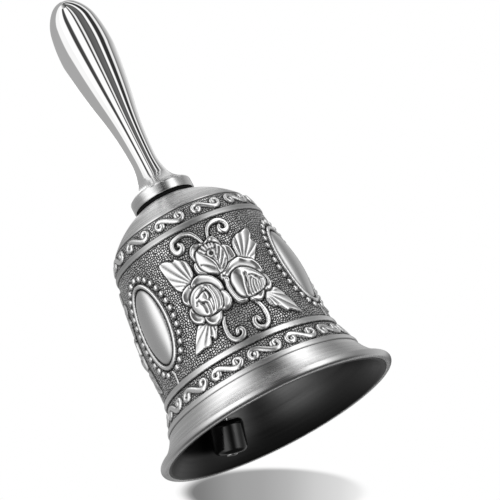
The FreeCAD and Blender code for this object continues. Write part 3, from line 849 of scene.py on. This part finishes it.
finishes = {
    "antiqueSilver": antiqueSilver(), "brushedSilver": brushedSilver(), "insideSilver": insideSilver(),
    "turnedSilver": brushedSilver("turnedSilver", (0.92, 0.74), (0.16, 0.28), 3400.0),
    "polishedSilver": polishedSilver(), "drawnSteel": drawnSteel(), "blackBob": blackBob(),
    "blackRubber": blackRubber(),
}

casting = makeBell()
for finish in ("antiqueSilver", "brushedSilver", "insideSilver"):
    casting.data.materials.append(finishes[finish])
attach(casting, "bell")
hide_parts("bell_shell")

grip = {
    "columns": 192,
    "outline": [
        (0, 71.32), (7.7, 71.32, 10), (7.9, 71.5, 0.1, 0.3, 1), (4.6, 75, 0.15, 8.3, -1),
        (3.5, 82, 0.3, 18.2, -1), (5.32, 98, 0.5, 98, -1), (7.7, 115, 0.5, 195, 1),
        (6.95, 124.2, 0.4, 46, 1), (3.93, 130.6, 0.25, 13, 1), (0, 132.4, 0.2, 5.2007, 1),
    ],
}
collar = {
    "columns": 192,
    "outline": [(1.6, 67.92), (8.5, 67.92, 1), (8.85, 68.25, 0.08, 0.4, 1), (8.85, 70.5, 0.25),
                (8.05, 71.28, 0.07, 0.85, 1), (1.6, 71.28, 1.5)],
}
washer = {
    "columns": 128,
    "outline": [(1.6, 66.82), (8.2, 66.82, 1), (8.5, 67.1, 0.1, 0.35, 1), (8.5, 67.6, 0.2),
                (8.2, 67.88, 0.1, 0.35, 1), (1.6, 67.88, 2)],
}

for name, shape, finish, node, slot in (
        ("handleGrip", grip, "polishedSilver", "handle_grip", "polished_silver"),
        ("handleCollar", collar, "turnedSilver", "handle_collar", "turned_silver"),
        ("crownWasher", washer, "blackRubber", "crown_washer", "black_washer")):
    piece = lathe(name, outlinePoints(shape["outline"]), shape["columns"])
    piece.data.materials.append(finishes[finish])
    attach(piece, "bell")
    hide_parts(node)
print("handle, collar and washer made")

hanging = {
    "drawnSteel": ["eye_screw", "inner_washer", "lock_nut", "link_ring", "clapper_rod", "bob_rivet"],
    "blackBob": ["clapper_bob"],
}
for finish, nodes in hanging.items():
    for node in nodes:
        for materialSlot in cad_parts[node].material_slots:
            materialSlot.material = finishes[finish]
print("finishes given to the hanging parts")

studio = {
    # The room's long lights run from before the bell to behind it and meet level with "meet". Each is
    # given by the half angle round the bell at which brushed metal shows it, and how bright it is there.
    "room": [(-90, 0.25), (-80, 0.45), (-69, 0.38), (-45, 0.35), (-36, 0.42), (-30, 0.75), (-24, 1.2),
             (-16, 1.45), (-9, 1.25), (-4, 0.65), (0, 0.32), (4, 0.12), (9, 0.04), (14, 0.1), (18, 0.45),
             (23, 1.3), (28, 1.7), (32, 1.3), (37, 0.65), (42, 0.36), (50, 0.25), (60, 0.42), (76, 0.6),
             (85, 0.2), (90, 0.12)],
    "meet": 0.96, "below": 0.05, "floorFade": (-0.45, -0.75),      # steeply down, the room is "below"
    # strip lights hang in a narrow drum round the polished handle and fan out above "fanFrom"
    "strips": [(-180, 1.3), (-172, 1.8), (-156, 1.8), (-150, 0.42), (-67, 0.42), (-64, 1.05), (-44, 1.02),
               (-41, 1.15), (-24.5, 1.15), (-21.5, 0.05), (-10, 0.07), (-6.5, 1.15), (11, 1.15),
               (13.5, 0.04), (18, 0.04), (20.5, 1.0), (25, 1.0), (27, 0.03), (32, 0.12), (46, 0.15),
               (51, 0.03), (54, 1.1), (61, 1.1), (63.5, 0.04), (80, 0.03), (84, 0.95), (94, 0.95),
               (97, 0.12), (108, 0.4), (140, 0.8), (152, 1.0), (156, 0.3)],
    "drum": {"radius": 0.03, "low": 0.0805, "high": 0.3, "sides": 96, "fanFrom": 0.12, "fan": 7.5},
}


def bandTones(tree, angle, bands):
    # brightness by angle, from bands given in degrees
    reach = -bands[0][0]
    share = spread(tree, angle, -math.radians(reach), math.radians(reach))
    node = put(tree, "ValToRGB", {0: share})
    stops = node.color_ramp.elements
    while len(stops) < len(bands):
        stops.new(0.5)
    for stop, (degrees, value) in zip(stops, bands):
        stop.position = (degrees + reach) / 2 / reach
        stop.color = grey(value)
    return node.outputs[0]


def makeStudio():
    world = bpy.data.worlds.new("studio")
    bpy.context.scene.world = world
    world.use_nodes = True
    tree = world.node_tree
    tree.nodes.clear()
    way = put(tree, "TexCoord").outputs["Generated"]
    way = put(tree, "SeparateXYZ", {0: way}).outputs
    angle = mathNode(tree, "ARCTAN2", way["X"], mathNode(tree, "SUBTRACT", studio["meet"], way["Y"]))
    tone = bandTones(tree, angle, studio["room"])
    tone = blendTones(tree, spread(tree, way["Z"], *studio["floorFade"]), tone, studio["below"])
    light = put(tree, "Background", {"Color": tone, "Strength": 1.0}).outputs[0]
    plain = put(tree, "Background", {"Color": grey(1.0), "Strength": 1.0}).outputs[0]
    seen = put(tree, "LightPath").outputs["Is Camera Ray"]
    put(tree, "OutputWorld", {"Surface": blendShaders(tree, seen, light, plain)})


def stagePiece(piece, material, unseen):
    # part of the stage, unseen by the kinds of ray listed
    piece.data.materials.append(material)
    for kind in unseen:
        setattr(piece, "visible_" + kind, False)


def makeStripDrum():
    # open tube, lit on the inside only and seen only in reflections
    drum = studio["drum"]
    count = drum["sides"]
    turns = np.arange(count) * 2 * math.pi / count
    verts = [(drum["radius"] * math.sin(turn), -drum["radius"] * math.cos(turn), z)
             for z in (drum["low"], drum["high"]) for turn in turns]
    faces = [(k, count + k, count + (k + 1) % count, (k + 1) % count) for k in range(count)]
    piece = meshPiece("stripDrum", verts, faces)
    material, tree = bareMaterial("stripLights")
    material.cycles.emission_sampling = "NONE"
    place = placeParts(tree)
    angle = mathNode(tree, "ARCTAN2", place["X"], times(tree, place["Y"], -1.0))
    above = mathNode(tree, "MAXIMUM", mathNode(tree, "SUBTRACT", place["Z"], drum["fanFrom"]), 0.0)
    fan = mathNode(tree, "ADD", times(tree, above, drum["fan"]), 1.0)
    tone = bandTones(tree, mathNode(tree, "DIVIDE", angle, fan), studio["strips"])
    lit = put(tree, "Emission", {"Color": tone, "Strength": 1.0}).outputs[0]
    outside = put(tree, "NewGeometry").outputs["Backfacing"]
    clear = put(tree, "BsdfTransparent").outputs[0]
    put(tree, "OutputMaterial", {"Surface": blendShaders(tree, outside, lit, clear)})
    stagePiece(piece, material, ("camera", "diffuse", "transmission", "shadow"))


floorPlan = {"half": 2.5, "drop": 0.0002, "tones": (0.93, 0.96), "speckle": 40.0, "glow": 0.3}


def makeFloor():
    half = floorPlan["half"]
    corners = [(-half, -half, 0), (half, -half, 0), (half, half, 0), (-half, half, 0)]
    floor = meshPiece("floor", corners, [(0, 1, 2, 3)])
    floor.location.z = -floorPlan["drop"]
    material, tree, shader = newMaterial("paleFloor", Roughness=0.9, **{
        "Specular IOR Level": 0.0, "Emission Strength": floorPlan["glow"]})
    speckle = put(tree, "TexNoise", {"Scale": floorPlan["speckle"], "Detail": 2.0}).outputs[0]
    paper = blendTones(tree, speckle, *floorPlan["tones"])
    tree.links.new(paper, shader.inputs["Base Color"])
    tree.links.new(paper, shader.inputs["Emission Color"])
    under = put(tree, "NewGeometry").outputs["Backfacing"]
    clear = put(tree, "BsdfTransparent").outputs[0]
    mixed = blendShaders(tree, under, shader.outputs[0], clear)
    tree.links.new(mixed, tree.nodes["Material Output"].inputs["Surface"])
    stagePiece(floor, material, ("diffuse", "glossy", "transmission", "shadow"))


shade = {
    # a soft shadow on the underside of the floor, seen only from below
    "middle": (-0.0094, 0.0824), "long": (0.0245, 0.0644), "short": (0.0038, -0.0327),
    # how deep the shadow is along its length
    "depths": [(-0.87, 0.82), (-0.74, 0.78), (-0.46, 0.66), (-0.18, 0.62), (0.09, 0.53), (0.37, 0.38),
               (0.64, 0.29), (0.92, 0.12)],
    "drop": 0.0006, "rings": 24, "sides": 72,
}


def makeShade():
    middle, long, short = (np.array(shade[key]) for key in ("middle", "long", "short"))
    verts, faces, depths = [(*middle, -shade["drop"])], [], []
    for ring in range(1, shade["rings"] + 1):
        for side in range(shade["sides"]):
            turn = 2 * math.pi * side / shade["sides"]
            out = long * math.cos(turn) + short * math.sin(turn)
            verts.append((*(middle + ring / shade["rings"] * out), -shade["drop"]))
    count = shade["sides"]
    for side in range(count):
        faces.append((0, 1 + side, 1 + (side + 1) % count))
        for ring in range(shade["rings"] - 1):
            first = 1 + ring * count
            faces.append((first + side, first + count + side, first + count + (side + 1) % count,
                          first + (side + 1) % count))
    piece = meshPiece("softShadow", verts, faces)
    for x, y, _ in verts:
        u, v = np.linalg.solve(np.column_stack([long, short]), np.array([x, y]) - middle)
        edge = ramp(math.hypot(u, v), 1.0, 0.82)
        depths.append(float(edge * np.interp(u, *zip(*shade["depths"]))))
    piece.data.attributes.new("depth", "FLOAT", "POINT").data.foreach_set("value", depths)
    material, tree = bareMaterial("softShadow")
    depth = put(tree, "Attribute", attribute_name="depth").outputs["Fac"]
    clear = put(tree, "BsdfTransparent").outputs[0]
    dark = put(tree, "Emission", {"Strength": 0.0}).outputs[0]
    put(tree, "OutputMaterial", {"Surface": blendShaders(tree, depth, clear, dark)})
    stagePiece(piece, material, ("diffuse", "glossy", "transmission", "shadow"))


shot = {"target": (0, 0, 0.05), "distance": 0.85, "elevation": -16.2, "roll": 27.5, "lens": 228.2,
        "aside": 0.01491, "upward": 0.00217}


def makeCamera():
    data = bpy.data.cameras.new("camera")
    data.lens = shot["lens"]
    data.sensor_width = 36
    camera = bpy.data.objects.new("camera", data)
    bpy.context.collection.objects.link(camera)
    slope = math.radians(shot["elevation"])
    ahead = Vector((0, math.cos(slope), -math.sin(slope)))
    level = Vector((1, 0, 0))
    bellUp = level.cross(ahead)
    roll = math.radians(shot["roll"])
    up = bellUp * math.cos(roll) + level * math.sin(roll)
    right = level * math.cos(roll) - bellUp * math.sin(roll)
    target = Vector(shot["target"])
    camera.location = target - ahead * shot["distance"]
    aim = target + right * shot["aside"] + up * shot["upward"] - camera.location
    aim.normalize()
    side = aim.cross(up).normalized()
    top = side.cross(aim)
    facing = Matrix((side, top, -aim)).transposed().to_4x4()
    camera.matrix_world = Matrix.Translation(camera.location) @ facing
    bpy.context.scene.camera = camera


makeStudio()
makeStripDrum()
makeFloor()
makeShade()
makeCamera()
bpy.context.scene.view_settings.view_transform = "Standard"
bpy.context.scene.view_settings.look = "None"
print("studio, floor and camera ready")
